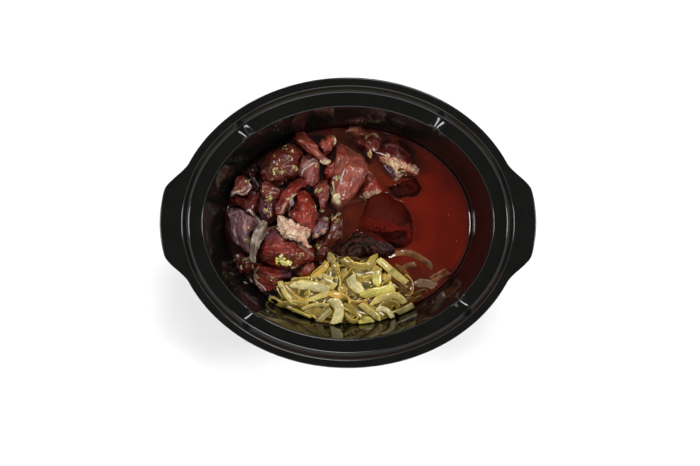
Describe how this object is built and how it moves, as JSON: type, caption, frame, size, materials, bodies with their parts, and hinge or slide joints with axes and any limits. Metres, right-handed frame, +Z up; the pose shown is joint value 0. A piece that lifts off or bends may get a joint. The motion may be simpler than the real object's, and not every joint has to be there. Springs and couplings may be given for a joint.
{
  "type": "lamb curry in an oval stoneware pot",
  "caption": "Uncooked lamb curry in an open oval black stoneware pot with two lug handles: lamb pieces, soft onion slices, tomato and curry pastes in thin sauce.",
  "frame": {"origin": "middle of the underside of the pot, at the level it stands on", "axes": "+X along the pot's length through its handles, +Y towards its back, +Z up"},
  "size_m": [0.34, 0.2624, 0.15],
  "materials": {
    "black_glaze": "glossy black glaze",
    "raw_lamb": "moist raw lamb with membranes and minced garlic",
    "lamb_fat": "moist pink-white fat",
    "tomato_paste": "dark red granular paste",
    "curry_paste": "dark brown coarse paste with an oily shine",
    "soft_onion": "translucent oily cooked onion",
    "thin_sauce": "still, glossy red-brown liquid"
  },
  "bodies": {
    "root": {"crock": "black_glaze", "lamb_01": "lamb_fat", "lamb_02": "raw_lamb", "lamb_03": "raw_lamb", "lamb_04": "raw_lamb", "lamb_05": "raw_lamb", "lamb_06": "raw_lamb", "lamb_07": "raw_lamb", "lamb_08": "raw_lamb", "lamb_09": "raw_lamb", "lamb_10": "raw_lamb", "lamb_11": "raw_lamb", "lamb_12": "raw_lamb", "lamb_13": "raw_lamb", "lamb_14": "raw_lamb", "lamb_15": "raw_lamb", "lamb_16": "raw_lamb", "lamb_17": "raw_lamb", "lamb_18": "raw_lamb", "lamb_19": "raw_lamb", "lamb_20": "raw_lamb", "lamb_21": "raw_lamb", "lamb_22": "raw_lamb", "lamb_23": "raw_lamb", "lamb_24": "raw_lamb", "lamb_25": "raw_lamb", "lamb_26": "raw_lamb", "lamb_27": "raw_lamb", "lamb_28": "raw_lamb", "tomato_paste": "tomato_paste", "tomato_paste_dab": "tomato_paste", "curry_paste": "curry_paste", "onion_slice_1": "soft_onion", "onion_slice_2": "soft_onion", "onion_slice_3": "soft_onion", "onion_slice_4": "soft_onion", "onion_heap": "soft_onion", "sauce": "thin_sauce"}
  },
  "joints": []
}
